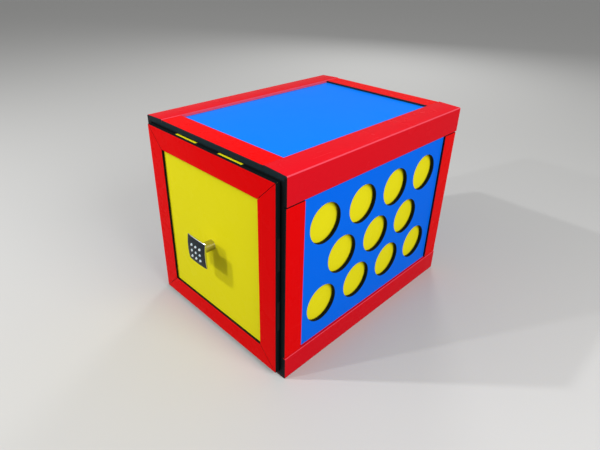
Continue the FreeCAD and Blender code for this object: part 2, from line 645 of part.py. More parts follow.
blade = new_body("catch_blade")
hub = new_sketch(blade, "blade_hub", "XZ_Plane")
add_circle(hub, "0", "0", "sizes.blade_hub_diameter")
pad(blade, hub, "sizes.blade")
arm = new_sketch(blade, "blade_arm", "XZ_Plane")
half_blade = "sizes.blade_width / 2"
half_tip = "sizes.blade_tip_width / 2"
bevel_start = "-sizes.blade_length + sizes.blade_tip_slope"
add_outline(arm, [(f"-{half_blade}", "0"), (half_blade, "0"), (half_blade, bevel_start),
                  (half_tip, "-sizes.blade_length"), (f"-{half_tip}", "-sizes.blade_length"),
                  (f"-{half_blade}", bevel_start)])
pad(blade, arm, "sizes.blade")
blade_hole = new_sketch(blade, "blade_hole", "XZ_Plane")
add_circle(blade_hole, "0", "0", "sizes.blade_screw_diameter + 2 * sizes.screw_fit")
pocket(blade, blade_hole, "sizes.blade", reverse=True)
put(blade, catch_axis[0], "places.blade_rear", catch_axis[1])
finish(blade, "catch_blade")

blade_screw = screw("blade_screw", "sizes.blade_screw_diameter", "sizes.blade_screw_grip + sizes.blade",
                    "sizes.blade_screw_head", "sizes.blade_screw_head_height")
put(blade_screw, catch_axis[0], "places.blade_front", catch_axis[1], ACROSS, 90)
finish(blade_screw, "blade_screw")

turn_knob = new_body("turn_knob")
disc = new_sketch(turn_knob, "turn_knob_disc", "XZ_Plane")
add_circle(disc, "0", "0", "sizes.turn_knob_diameter")
pad(turn_knob, disc, "sizes.turn_knob_base", reverse=True)
grip = new_sketch(turn_knob, "turn_knob_grip", "XZ_Plane")
half_grip = "sizes.turn_knob_grip_width / 2"
grip_reach = "sizes.turn_knob_diameter / 2 - sizes.turn_knob_grip_inset"
add_rectangle(grip, (f"-{half_grip}", half_grip), (f"-({grip_reach})", grip_reach))
pad(turn_knob, grip, "sizes.turn_knob_base + sizes.turn_knob_grip", reverse=True)
grip_depth = number("sizes.turn_knob_base + sizes.turn_knob_grip")
round_edges(turn_knob, "sizes.turn_knob_rounding", lambda edge, mid: abs(mid.y - grip_depth) < 1e-6)
socket = new_sketch(turn_knob, "turn_knob_socket", "XZ_Plane")
add_circle(socket, "0", "0", "sizes.spindle_diameter")
pocket(turn_knob, socket, "sizes.turn_knob_bore")
put(turn_knob, catch_axis[0], "places.turn_knob_front", catch_axis[1])
finish(turn_knob, "turn_knob")

strike = new_body("tray_strike")
bend = new_sketch(strike, "strike_bend", "XY_Plane")
foot_end = "-(places.web_x + sizes.strike + sizes.strike_foot)"
web_outer, web_inner = "-(places.web_x + sizes.strike)", "-places.web_x"
lip_end = "-(places.web_x - sizes.strike_reach)"
lip = ("places.lip_front - places.tray_rear", "places.lip_front + sizes.strike - places.tray_rear")
add_outline(bend, [(foot_end, "0"), (web_inner, "0"), (web_inner, lip[0]), (lip_end, lip[0]),
                   (lip_end, lip[1]), (web_outer, lip[1]), (web_outer, "sizes.strike"),
                   (foot_end, "sizes.strike")])
strike_pad = pad(strike, bend, "sizes.strike_height")
strike_pad.Midplane = True
strike_holes = new_sketch(strike, "strike_holes", "XZ_Plane")
for way in (-1, 1):
    add_circle(strike_holes, strike_screw_x, f"{way} * sizes.strike_screw_spacing / 2", strike_hole)
pocket(strike, strike_holes, "sizes.strike")
put(strike, "0", "places.tray_rear", "sizes.catch_height")
finish(strike, "tray_strike")

strike_screws = []
for index, height in enumerate(STRIKE_SCREWS, start=1):
    fixing = screw(f"strike_screw_{index}", "sizes.strike_screw_diameter",
                   "sizes.strike + sizes.tray_board", "sizes.strike_screw_head",
                   "sizes.strike_screw_head_height")
    put(fixing, strike_screw_x, "places.tray_rear + sizes.strike", height, ACROSS, -90)
    strike_screws.append(fixing)
screw_set = doc.addObject("Part::Compound", "strike_screw_set")
screw_set.Links = strike_screws
finish(screw_set, "strike_screws")


# ---------------------------------------------------------------- checks and export
doc.recompute()
for obj in doc.Objects:
    if "Invalid" in obj.State or "Error" in obj.State:
        raise RuntimeError(f"{obj.Name} failed: {obj.State}")
for obj in sub_parts:
    if obj.Shape.isNull() or not obj.Shape.isValid():
        raise RuntimeError(f"{obj.Label} has no valid shape")

os.makedirs("parts", exist_ok=True)
for obj in sub_parts:
    obj.Shape.exportStep(os.path.join("parts", obj.Label + ".step"))
print(f"{len(sub_parts)} sub-parts written")
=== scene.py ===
import math

import bmesh
import bpy
from mathutils import Matrix, Vector


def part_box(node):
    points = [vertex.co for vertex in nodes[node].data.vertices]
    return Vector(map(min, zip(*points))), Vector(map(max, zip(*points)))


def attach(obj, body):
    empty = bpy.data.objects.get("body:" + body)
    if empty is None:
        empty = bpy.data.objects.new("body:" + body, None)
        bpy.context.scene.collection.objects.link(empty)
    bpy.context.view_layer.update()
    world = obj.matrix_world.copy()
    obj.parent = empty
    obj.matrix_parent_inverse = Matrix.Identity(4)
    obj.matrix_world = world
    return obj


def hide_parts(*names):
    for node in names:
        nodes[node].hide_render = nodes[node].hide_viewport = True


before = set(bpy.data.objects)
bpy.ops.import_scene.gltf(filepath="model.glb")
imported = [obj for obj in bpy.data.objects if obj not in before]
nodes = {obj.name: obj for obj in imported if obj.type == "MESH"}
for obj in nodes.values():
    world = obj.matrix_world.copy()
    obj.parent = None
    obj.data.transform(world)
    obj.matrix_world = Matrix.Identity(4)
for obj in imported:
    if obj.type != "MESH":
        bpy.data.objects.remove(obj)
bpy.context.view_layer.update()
mm = 0.001
print("frame loaded:", len(nodes), "nodes")


# shared node groups
def newGroup(name, inputs, outputs):
    group = bpy.data.node_groups.new(name, "ShaderNodeTree")
    for label, kind, value in inputs:
        socket = group.interface.new_socket(name=label, in_out="INPUT", socket_type=kind)
        socket.default_value = value
    for label, kind in outputs:
        group.interface.new_socket(name=label, in_out="OUTPUT", socket_type=kind)
    return group, group.nodes.new("NodeGroupInput"), group.nodes.new("NodeGroupOutput")


def addNode(tree, kind, settings=None, **links):
    # settings go to the node or its inputs; links name the input a socket feeds, and i0 is the first
    node = tree.nodes.new(kind)
    for key, value in (settings or {}).items():
        if isinstance(key, str) and hasattr(node, key):
            setattr(node, key, value)
        else:
            node.inputs[key].default_value = value
    for key, socket in links.items():
        tree.links.new(socket, node.inputs[int(key[1:]) if key[0] == "i" and key[1:].isdigit() else key])
    return node


floatKind, colourKind, vectorKind = "NodeSocketFloat", "NodeSocketColor", "NodeSocketVector"


def combine(tree, operation, first, second):
    return addNode(tree, "ShaderNodeMath", {"operation": operation}, i0=first, i1=second).outputs[0]


def spread(tree, value, low, high, newLow=0.0, newHigh=1.0):
    # brings the part of a value between low and high to newLow and newHigh
    settings = {"From Min": low, "From Max": high, "To Min": newLow, "To Max": newHigh}
    return addNode(tree, "ShaderNodeMapRange", settings, Value=value).outputs[0]


def noise(tree, points, scale, detail, roughness=0.5):
    settings = {"Scale": scale, "Detail": detail, "Roughness": roughness}
    return addNode(tree, "ShaderNodeTexNoise", settings, Vector=points).outputs[0]


def stretchedPoints(tree, stretch):
    place = addNode(tree, "ShaderNodeTexCoord").outputs["Object"]
    return addNode(tree, "ShaderNodeVectorMath", {"operation": "MULTIPLY"}, i0=place, i1=stretch).outputs[0]


def makeToneGroup():
    # slow cloudy change of tone plus a fine speckle, both as shares of the colour
    inputs = [("Colour", colourKind, (0.5, 0.5, 0.5, 1)), ("Cloud", floatKind, 0.05),
              ("Speckle", floatKind, 0.03), ("Stretch", vectorKind, (1, 1, 1))]
    group, given, result = newGroup("toneDrift", inputs, [("Colour", colourKind)])
    points = stretchedPoints(group, given.outputs["Stretch"])
    shares = []
    for label, scale, detail, roughness in (("Cloud", 9.0, 3.0, 0.55), ("Speckle", 900.0, 2.0, 0.7)):
        swing = spread(group, noise(group, points, scale, detail, roughness), 0.3, 0.7, -1.0, 1.0)
        shares.append(combine(group, "MULTIPLY", swing, given.outputs[label]))
    factor = addNode(group, "ShaderNodeMath", {"operation": "ADD", 1: 1.0}, i0=combine(group, "ADD", *shares))
    scaled = addNode(group, "ShaderNodeVectorMath", {"operation": "SCALE"}, i0=given.outputs["Colour"],
                     Scale=factor.outputs[0])
    group.links.new(scaled.outputs[0], result.inputs["Colour"])
    return group


def makePeelGroup():
    # the slight orange peel of a rolled or moulded skin
    inputs = [("Grain", floatKind, 700.0), ("Depth", floatKind, 0.00002), ("Stretch", vectorKind, (1, 1, 1))]
    group, given, result = newGroup("skinPeel", inputs, [("Normal", vectorKind)])
    peel = addNode(group, "ShaderNodeTexNoise", {"Detail": 2.0, "Roughness": 0.5},
                   Scale=given.outputs["Grain"], Vector=stretchedPoints(group, given.outputs["Stretch"]))
    bump = addNode(group, "ShaderNodeBump", {"Strength": 1.0}, Height=peel.outputs[0],
                   Distance=given.outputs["Depth"])
    group.links.new(bump.outputs["Normal"], result.inputs["Normal"])
    return group


def makeHandlingGroup():
    # fine crossing scratches and wiped patches: 1 where the gloss is dulled
    inputs = [("Scratches", floatKind, 0.5), ("Smears", floatKind, 0.5)]
    group, given, result = newGroup("handlingMarks", inputs, [("Mask", floatKind)])
    place = addNode(group, "ShaderNodeTexCoord").outputs["Object"]
    scratches = []
    for turn, stretch in (((0.4, 0.3, 0.5), (420, 14, 420)), ((-0.7, 0.9, 0.2), (16, 460, 300))):
        points = addNode(group, "ShaderNodeMapping", {"Rotation": turn, "Scale": stretch},
                         Vector=place).outputs[0]
        scratches.append(spread(group, noise(group, points, 1.0, 1.0), 0.69, 0.76))
    both = combine(group, "MAXIMUM", *scratches)
    patches = spread(group, noise(group, place, 26.0, 4.0, 0.6), 0.45, 0.72)
    total = addNode(group, "ShaderNodeMath", {"operation": "ADD", "use_clamp": True},
                    i0=combine(group, "MULTIPLY", both, given.outputs["Scratches"]),
                    i1=combine(group, "MULTIPLY", patches, given.outputs["Smears"]))
    group.links.new(total.outputs[0], result.inputs["Mask"])
    return group


toneDrift, skinPeel, handlingMarks = makeToneGroup(), makePeelGroup(), makeHandlingGroup()


def placeGroup(tree, group, values):
    node = tree.nodes.new("ShaderNodeGroup")
    node.node_tree = group
    for key, value in values.items():
        node.inputs[key].default_value = value
    return node


# finishes
def newFinish(name, look):
    # look: colour, gloss range, plain shader settings, and what the shared groups get
    finish = bpy.data.materials.new(name)
    finish.use_nodes = True
    tree = finish.node_tree
    shader = tree.nodes["Principled BSDF"]
    for key, value in look.get("shader", {}).items():
        shader.inputs[key].default_value = value
    stretch = look.get("stretch", (1, 1, 1))
    tone = placeGroup(tree, toneDrift, {"Colour": (*look["colour"], 1), "Cloud": look["cloud"],
                                        "Speckle": look["speckle"], "Stretch": stretch})
    tree.links.new(tone.outputs["Colour"], shader.inputs["Base Color"])
    marks = placeGroup(tree, handlingMarks, {"Scratches": look.get("scratches", 0.4), "Smears": 0.5})
    tree.links.new(spread(tree, marks.outputs["Mask"], 0.0, 1.0, *look["roughness"]),
                   shader.inputs["Roughness"])
    peel = placeGroup(tree, skinPeel, {"Grain": look["grain"], "Depth": look["depth"], "Stretch": stretch})
    tree.links.new(peel.outputs["Normal"], shader.inputs["Normal"])
    finish.diffuse_color = (*look["colour"], 1)
    return finish


blueLaminate = newFinish("blueLaminate", {
    "colour": (0.004, 0.21, 0.96), "roughness": (0.30, 0.42), "cloud": 0.012, "speckle": 0.015,
    "grain": 1100.0, "depth": 0.000006, "shader": {"Specular IOR Level": 0.012}})
# a deeper copy of the blue for the upright boards: painted shade on the sides
shadedBlueLaminate = newFinish("shadedBlueLaminate", {
    "colour": (0.003, 0.158, 0.92), "roughness": (0.30, 0.42), "cloud": 0.012, "speckle": 0.015,
    "grain": 1100.0, "depth": 0.000006, "shader": {"Specular IOR Level": 0.012}})
yellowLaminate = newFinish("yellowLaminate", {
    "colour": (0.90, 0.815, 0.012), "roughness": (0.26, 0.36), "cloud": 0.008, "speckle": 0.012,
    "grain": 1100.0, "depth": 0.000006, "shader": {"Specular IOR Level": 0.015}})
redLaminate = newFinish("redLaminate", {
    "colour": (0.84, 0.002, 0.003), "roughness": (0.26, 0.38), "cloud": 0.015, "speckle": 0.015,
    "grain": 1100.0, "depth": 0.000006, "shader": {"Specular IOR Level": 0.015}})
redTrim = newFinish("redTrim", {
    "colour": (0.74, 0.007, 0.016), "roughness": (0.24, 0.36), "cloud": 0.02, "speckle": 0.02,
    "stretch": (1, 0.15, 1), "scratches": 0.15, "grain": 1500.0, "depth": 0.000008,
    "shader": {"Specular IOR Level": 0.015}})
# a lighter pink for the trims' rounded edges: a painted highlight
trimEdge = newFinish("trimEdge", {
    "colour": (0.84, 0.07, 0.11), "roughness": (0.18, 0.30), "cloud": 0.04, "speckle": 0.03,
    "stretch": (1, 0.15, 1), "grain": 1500.0, "depth": 0.000008, "shader": {"Specular IOR Level": 0.3}})
# the dark core, also used under the upright strips as painted shade
darkCoreAndShade = newFinish("darkCoreAndShade", {
    "colour": (0.0035, 0.0075, 0.0088), "roughness": (0.55, 0.7), "cloud": 0.2, "speckle": 0.25,
    "grain": 1600.0, "depth": 0.00005, "shader": {"Specular IOR Level": 0.08}})
# a lighter copy of the dark core for rims along the top: painted light
litRimCore = newFinish("litRimCore", {
    "colour": (0.009, 0.021, 0.026), "roughness": (0.55, 0.7), "cloud": 0.15, "speckle": 0.2,
    "grain": 1600.0, "depth": 0.00005, "shader": {"Specular IOR Level": 0.08}})
# black board, also used behind the front panel as painted shade
blackBoardAndShade = newFinish("blackBoardAndShade", {
    "colour": (0.012, 0.012, 0.013), "roughness": (0.5, 0.62), "cloud": 0.15, "speckle": 0.15,
    "grain": 1300.0, "depth": 0.00003, "shader": {"Specular IOR Level": 0.2}})
polishedMetal = newFinish("polishedMetal", {
    "colour": (0.52, 0.49, 0.42), "roughness": (0.20, 0.28), "cloud": 0.03, "speckle": 0.02,
    "stretch": (1, 4, 1), "grain": 900.0, "depth": 0.000004, "shader": {"Metallic": 1.0}})
plateRim = newFinish("plateRim", {
    "colour": (0.66, 0.69, 0.72), "roughness": (0.14, 0.24), "cloud": 0.03, "speckle": 0.02,
    "grain": 900.0, "depth": 0.000004, "shader": {"Metallic": 1.0}})
plateFace = newFinish("plateFace", {
    "colour": (0.016, 0.023, 0.028), "roughness": (0.34, 0.46), "cloud": 0.12, "speckle": 0.14,
    "grain": 2200.0, "depth": 0.00001, "shader": {"Specular IOR Level": 0.08}})
crystalGlass = newFinish("crystalGlass", {
    "colour": (0.94, 0.985, 1.0), "roughness": (0.04, 0.08), "cloud": 0.02, "speckle": 0.02,
    "grain": 1200.0, "depth": 0.000002, "shader": {"Coat Weight": 0.8}})
# an ice blue for some facets and tables: a painted reflection
crystalBlueReflection = newFinish("crystalBlueReflection", {
    "colour": (0.50, 0.76, 0.88), "roughness": (0.04, 0.08), "cloud": 0.06, "speckle": 0.02,
    "grain": 1200.0, "depth": 0.000002, "shader": {"Coat Weight": 0.8}})
platedSteel = newFinish("platedSteel", {
    "colour": (0.56, 0.56, 0.55), "roughness": (0.26, 0.42), "cloud": 0.06, "speckle": 0.05,
    "grain": 1500.0, "depth": 0.00001, "shader": {"Metallic": 1.0}})
brass = newFinish("brass", {
    "colour": (0.70, 0.47, 0.16), "roughness": (0.22, 0.4), "cloud": 0.08, "speckle": 0.04,
    "grain": 1200.0, "depth": 0.000008, "shader": {"Metallic": 1.0}})
knobPlastic = newFinish("knobPlastic", {
    "colour": (0.018, 0.018, 0.02), "roughness": (0.36, 0.5), "cloud": 0.1, "speckle": 0.1,
    "grain": 1800.0, "depth": 0.00002})
print("finishes made:", len(bpy.data.materials))


# shaping helpers
axes = {"x": Vector((1, 0, 0)), "y": Vector((0, 1, 0)), "z": Vector((0, 0, 1))}
# distances in metres below which two points are one, then how square a flat face or an end is,
# and the angle in degrees from which an edge beside a flat face is kept sharp
sameSpot = {"curve": 1e-6, "turned": 1e-7, "cut": 2e-6, "corner": 1e-5}
flatFace, endFace, flatAngle = 0.99999, 0.9, 6


def facing(side):
    # "+x" and the like as a direction
    return axes[side[1]] * (1 if side[0] == "+" else -1)


def block(low, high):
    bm = bmesh.new()
    place = Matrix.Translation((low + high) / 2) @ Matrix.Diagonal((*(high - low), 1))
    bmesh.ops.create_cube(bm, size=1, matrix=place)
    return bm


def cutOut(plane, outline, low, high):
    # a flat outline across one axis, given thickness along it
    bm = bmesh.new()
    corners = {"x": [(low, u, v) for u, v in outline], "y": [(u, low, v) for u, v in outline],
               "z": [(u, v, low) for u, v in outline]}[plane]
    face = bm.faces.new([bm.verts.new(corner) for corner in corners])
    grown = bmesh.ops.extrude_face_region(bm, geom=[face])["geom"]
    bmesh.ops.translate(bm, verts=[g for g in grown if isinstance(g, bmesh.types.BMVert)],
                        vec=axes[plane] * (high - low))
    bmesh.ops.recalc_face_normals(bm, faces=bm.faces[:])
    return bm


def ease(bm, width, segments=2, wanted=None):
    edges = [e for e in bm.edges if wanted is None or wanted(e)]
    bmesh.ops.bevel(bm, geom=edges, offset=width, offset_type="OFFSET", affect="EDGES", segments=segments,
                    profile=0.5, material=-1, clamp_overlap=True)


def square(face):
    return max(abs(part) for part in face.normal) > flatFace


def softenShading(bm, limit=32):
    # curves shade smoothly, and a flat side keeps one even tone up to its rounded edge
    for face in bm.faces:
        face.smooth = True
    for edge in bm.edges:
        angle = math.degrees(edge.calc_face_angle(0)) if len(edge.link_faces) == 2 else 180
        flatSide = angle > flatAngle and any(square(face) for face in edge.link_faces)
        edge.smooth = angle < limit and not flatSide


def addPiece(name, bm, finishes, body, standsFor, paint=None, limit=32):
    bm.normal_update()
    for face in bm.faces:
        face.material_index = paint(face) if paint else 0
    softenShading(bm, limit)
    mesh = bpy.data.meshes.new(name)
    bm.to_mesh(mesh)
    bm.free()
    for finish in finishes:
        mesh.materials.append(finish)
    piece = bpy.data.objects.new(name, mesh)
    bpy.context.scene.collection.objects.link(piece)
    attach(piece, body)
    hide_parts(*standsFor)


def split(bm, spot, way):
    # an edge loop where a plane crosses the shape
    bmesh.ops.bisect_plane(bm, geom=bm.verts[:] + bm.edges[:] + bm.faces[:], plane_co=spot,
                           plane_no=axes[way], dist=sameSpot["curve"])


def skinOn(side, reach=0.99, ends=1):
    # the first finish on faces that look along side, the second on the rest, and ends on front and rear edges
    way = facing(side)
    return lambda face: 0 if face.normal.dot(way) > reach else ends if abs(face.normal.y) > endFace else 1


# casing boards
casingBoards = {"ease": 0.3 * mm, "skins": {"casing_top_panel": "+z", "casing_bottom_panel": "-z"},
                "catchHeight": 150 * mm, "catchBore": 8 * mm}
for node, side in casingBoards["skins"].items():
    bm = block(*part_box(node))
    ease(bm, casingBoards["ease"])
    # the front and rear rims get the lighter core copy: painted light
    addPiece(node.replace("_", "-"), bm, [blueLaminate, darkCoreAndShade, litRimCore], "casing", [node],
             skinOn(side, ends=2))

perforated = {"holeDiameter": 45 * mm, "pitch": 60 * mm, "rowPitch": 50 * mm, "holesInRow": (4, 3, 4),
              "fieldShift": 1.6 * mm, "ease": 0.3 * mm, "lap": 3 * mm}
# four handles of this share of the radius make a circle
roundHandle, circleSteps = 0.5523, 18


def holedBoard(name, plane, outline, holes, low, high, rim):
    # a board with round holes, from a flat filled curve with rounded rims
    curve = bpy.data.curves.new(name, "CURVE")
    curve.dimensions, curve.fill_mode = "2D", "BOTH"
    curve.extrude = (high - low) / 2 - rim
    curve.bevel_depth, curve.bevel_resolution, curve.offset = rim, 1, -rim
    edge = curve.splines.new("POLY")
    edge.points.add(len(outline) - 1)
    for point, (u, v) in zip(edge.points, outline):
        point.co = (u, v, 0, 1)
    edge.use_cyclic_u = True
    for u, v, diameter in holes:
        ring = curve.splines.new("BEZIER")
        ring.bezier_points.add(3)
        for count, point in enumerate(ring.bezier_points):
            turn = -count * math.pi / 2
            reach, pull = diameter / 2, diameter / 2 * roundHandle
            out = Vector((math.cos(turn), math.sin(turn), 0))
            along = Vector((math.sin(turn), -math.cos(turn), 0))
            point.co = Vector((u, v, 0)) + out * reach
            point.handle_left, point.handle_right = point.co - along * pull, point.co + along * pull
        ring.use_cyclic_u = True
        ring.resolution_u = circleSteps
    holder = bpy.data.objects.new(name, curve)
    bpy.context.scene.collection.objects.link(holder)
    bpy.context.view_layer.update()
    flat = bpy.data.meshes.new_from_object(holder.evaluated_get(bpy.context.evaluated_depsgraph_get()))
    bm = bmesh.new()
    bm.from_mesh(flat)
    bpy.data.objects.remove(holder)
    bpy.data.curves.remove(curve)
    bpy.data.meshes.remove(flat)
    bmesh.ops.remove_doubles(bm, verts=bm.verts[:], dist=sameSpot["curve"])
    middle = (low + high) / 2
    turnTo = {"x": Matrix(((0, 0, 1, middle), (1, 0, 0, 0), (0, 1, 0, 0), (0, 0, 0, 1))),
              "y": Matrix(((1, 0, 0, 0), (0, 0, -1, middle), (0, 1, 0, 0), (0, 0, 0, 1)))}[plane]
    bmesh.ops.transform(bm, matrix=turnTo, verts=bm.verts[:])
    bmesh.ops.recalc_face_normals(bm, faces=bm.faces[:])
    return bm


def rectangle(low, high, first, second):
    return [(low[first], low[second]), (high[first], low[second]),
            (high[first], high[second]), (low[first], high[second])]


for sideName, side in (("left", "-x"), ("right", "+x")):
    node = f"casing_{sideName}_panel"
    low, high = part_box(node)
    begin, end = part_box(f"{sideName}_front_strip")[1].y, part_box(f"{sideName}_rear_strip")[0].y
    # rows of holes from the top down, a little in front of the middle of what shows of the board
    holes = []
    for row, number in enumerate(perforated["holesInRow"]):
        z = (low.z + high.z) / 2 + (1 - row) * perforated["rowPitch"]
        start = (begin + end) / 2 - perforated["fieldShift"] - (number - 1) / 2 * perforated["pitch"]
        holes += [(start + count * perforated["pitch"], z, perforated["holeDiameter"])
                  for count in range(number)]
    bm = holedBoard(node, "x", rectangle(low, high, 1, 2), holes, low.x, high.x, perforated["ease"])
    # the skin is painted dark core under the upright strips, painted shade in the gaps at their ends
    shown = [begin - perforated["lap"], end + perforated["lap"]]
    for cut in shown:
        split(bm, (0, cut, 0), "y")

    def panelPaint(face, skin=skinOn(side), shown=shown):
        return skin(face) if shown[0] < face.calc_center_median().y < shown[1] else 1

    addPiece(node.replace("_", "-"), bm, [shadedBlueLaminate, darkCoreAndShade], "casing", [node],
             panelPaint)

low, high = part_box("casing_back_panel")
bm = holedBoard("back", "y", rectangle(low, high, 0, 2),
                [(0, casingBoards["catchHeight"], casingBoards["catchBore"])], low.y, high.y,
                casingBoards["ease"])
addPiece("casing-back-panel", bm, [shadedBlueLaminate, darkCoreAndShade], "casing", ["casing_back_panel"],
         skinOn("+y"))
print("casing boards done")

# corner trims
cornerTrim = {"flange": 30.4 * mm, "lowFlange": 28.4 * mm, "upright": 3.4 * mm, "level": 2.1 * mm,
              "toe": 3.5 * mm, "heelRadius": 1.4 * mm, "toeRadius": 0.8 * mm, "longEdge": 100 * mm,
              "slanting": 0.3}
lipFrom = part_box("casing_top_panel")[1].z


def lengthways(edge):
    return abs(edge.verts[0].co.y - edge.verts[1].co.y) > cornerTrim["longEdge"]


def near(edge, corner):
    mid = (edge.verts[0].co + edge.verts[1].co) / 2
    return abs(mid.x - corner[0]) < sameSpot["corner"] and abs(mid.z - corner[1]) < sameSpot["corner"]


for sideName, side in (("left", -1), ("right", 1)):
    for levelName, up in (("top", 1), ("bottom", -1)):
        node = f"{levelName}_{sideName}_corner_trim"
        low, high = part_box(node)
        rise = cornerTrim["toe"] - cornerTrim["level"] if up > 0 else 0
        drop = cornerTrim["flange"] if up > 0 else cornerTrim["lowFlange"]
        heelX, heelZ = (high.x if side > 0 else low.x), (high.z - rise if up > 0 else low.z)
        flange, wall, under = cornerTrim["flange"], cornerTrim["upright"], cornerTrim["level"]
        section = [(0, 0), (-flange, rise), (-flange, -under), (-wall, -under), (-wall, -drop), (0, -drop)]
        outline = [(heelX + side * a, heelZ + up * b) for a, b in section]
        bm = cutOut("y", outline, low.y, high.y)
        ease(bm, cornerTrim["heelRadius"], 6, lambda e: lengthways(e) and near(e, outline[0]))
        toes = [outline[5]] + ([outline[1]] if up > 0 else [])
        ease(bm, cornerTrim["toeRadius"], 4, lambda e: lengthways(e) and any(near(e, t) for t in toes))
        level = outline[2][1]
        if up > 0:
            split(bm, (0, 0, level), "z")

        def trimPaint(face, heelX=heelX, side=side, up=up, level=level):
            # cut ends show the core, painted lighter along the top as painted light; the rounded heel, the
            # upper toe and the inner side of a top trim's toe are painted a lighter pink, a painted highlight
            middle = face.calc_center_median()
            if abs(face.normal.y) > endFace:
                return 3 if up > 0 and middle.z > level else 1
            if up > 0 and face.normal.x * side < -endFace and middle.z > lipFrom:
                return 2
            slant = min(abs(face.normal.x), abs(face.normal.z))
            lowToe = up > 0 and face.normal.z < 0 and abs(middle.x - heelX) < cornerTrim["heelRadius"]
            return 2 if slant > cornerTrim["slanting"] and not lowToe else 0

        addPiece(node.replace("_", "-"), bm, [redTrim, darkCoreAndShade, trimEdge, litRimCore], "casing", [node],
                 trimPaint)
print("corner trims done")

# flat strips of the casing
flatStrips = {"ease": 0.3 * mm, "endGap": 0.35 * mm, "skinReach": 0.8}
for node, side in (("top_front_strip", "+z"), ("top_rear_strip", "+z"),
                   ("left_front_strip", "-x"), ("left_rear_strip", "-x"),
                   ("right_front_strip", "+x"), ("right_rear_strip", "+x")):
    # the uprights stop just short of the trims, which leaves a dark line
    gap = Vector((0, 0, flatStrips["endGap"] if side[1] == "x" else 0))
    low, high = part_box(node)
    bm = block(low + gap, high - gap)
    ease(bm, flatStrips["ease"])
    # the top strips' end faces get the lighter core copy: painted light
    ends = 2 if side == "+z" else 1
    addPiece(node.replace("_", "-"), bm, [redLaminate, darkCoreAndShade, litRimCore], "casing", [node],
             skinOn(side, flatStrips["skinReach"], ends))

# mitred frames
mitred = {"width": 24.4 * mm, "ease": 0.3 * mm, "seam": 0.22 * mm, "skinReach": 0.8}
for group, side, body in (("drawer_frame", "-y", "drawer"), ("back_frame", "+y", "casing")):
    boxes = {place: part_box(f"{group}_{place}") for place in ("top", "bottom", "left", "right")}
    left, right = boxes["left"][0].x, boxes["right"][1].x
    bottom, top = boxes["bottom"][0].z, boxes["top"][1].z
    width = mitred["width"]
    outer = [(left, bottom), (right, bottom), (right, top), (left, top)]
    inner = [(left + width, bottom + width), (right - width, bottom + width),
             (right - width, top - width), (left + width, top - width)]
    for count, place in enumerate(("bottom", "right", "top", "left")):
        after = (count + 1) % 4
        low, high = boxes[place]
        bm = cutOut("y", [outer[count], outer[after], inner[after], inner[count]], low.y, high.y)
        # each end is drawn in along the strip, which leaves the mitre's seam
        middle = (low + high) / 2
        along = axes["x" if count % 2 == 0 else "z"]
        for vert in bm.verts:
            vert.co -= along * math.copysign(mitred["seam"], (vert.co - middle).dot(along))
        ease(bm, mitred["ease"])
        addPiece(f"{group}-{place}".replace("_", "-"), bm, [redLaminate, darkCoreAndShade], body,
                 [f"{group}_{place}"], skinOn(side, mitred["skinReach"]))
print("strips and frames done")

# drawer
drawerBoards = {"ease": 0.25 * mm, "shadeBand": 1.4 * mm, "board": 4 * mm, "tabNear": 18.5 * mm,
                "tabFar": 55.5 * mm, "tabEdge": 1.2 * mm, "tabRoot": 0.1 * mm, "tabReach": 0.3 * mm,
                "screwHole": 4.2 * mm, "holeEase": 0.2 * mm}
tabNear, tabFar = drawerBoards["tabNear"], drawerBoards["tabFar"]


def tabbedOutline(start, end, root, tip, rear, middle):
    points = [(start, rear), (start, root)]
    for low, high in ((middle - tabFar, middle - tabNear), (middle + tabNear, middle + tabFar)):
        points += [(low, root), (low, tip), (high, tip), (high, root)]
    return points + [(end, root), (end, rear)]


panelLow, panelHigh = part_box("drawer_front_panel")
midZ = (panelLow.z + panelHigh.z) / 2
for node, side in (("drawer_left_side", "-x"), ("drawer_right_side", "+x"), ("drawer_bottom", "-z"),
                   ("drawer_top_rail", "+z")):
    low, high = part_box(node)
    if side[1] == "x":
        outline = [(v, u) for u, v in tabbedOutline(low.z, high.z, panelHigh.y, panelLow.y, high.y, midZ)]
        bm = cutOut("x", outline, low.x, high.x)
    else:
        bm = cutOut("z", tabbedOutline(low.x, high.x, panelHigh.y, panelLow.y, high.y, 0), low.z, high.z)
    ease(bm, drawerBoards["ease"])
    # a band just behind the front panel is painted black, painted shade in the gap there, except on the tabs
    # of the top rail
    stop = panelHigh.y + drawerBoards["shadeBand"]
    for cut in (stop, panelHigh.y + drawerBoards["tabRoot"], panelLow.y + drawerBoards["tabEdge"]):
        split(bm, (0, cut, 0), "y")
    skin = skinOn(side)

    def boardPaint(face, skin=skin, node=node):
        middle = face.calc_center_median()
        onTab = panelLow.y + drawerBoards["tabEdge"] < middle.y < panelHigh.y + drawerBoards["tabReach"]
        tab = node == "drawer_top_rail" and onTab and tabNear < abs(middle.x) < tabFar
        return skin(face) if middle.y > stop or tab else 1

    addPiece(node.replace("_", "-"), bm, [yellowLaminate, blackBoardAndShade], "drawer", [node],
             boardPaint)


def notched(low, high):
    # the panel's outline, counter-clockwise, with two notches in each edge
    board, points = drawerBoards["board"], []
    sides = [((low.x, low.z), (1, 0), (0, 1), 0 - low.x), ((high.x, low.z), (0, 1), (-1, 0), midZ - low.z),
             ((high.x, high.z), (-1, 0), (0, -1), high.x), ((low.x, high.z), (0, -1), (1, 0), high.z - midZ)]
    for (u, v), along, inward, middle in sides:
        points.append((u, v))
        for begin, end in ((middle - tabFar, middle - tabNear), (middle + tabNear, middle + tabFar)):
            for run, depth in ((begin, 0), (begin, board), (end, board), (end, 0)):
                points.append((u + along[0] * run + inward[0] * depth,
                               v + along[1] * run + inward[1] * depth))
    return points


bm = holedBoard("front", "y", notched(panelLow, panelHigh), [(0, midZ, drawerBoards["screwHole"])],
                panelLow.y, panelHigh.y, drawerBoards["holeEase"])
addPiece("drawer-front-panel", bm, [yellowLaminate, darkCoreAndShade], "drawer", ["drawer_front_panel"],
         skinOn("-y"))
print("drawer boards done")

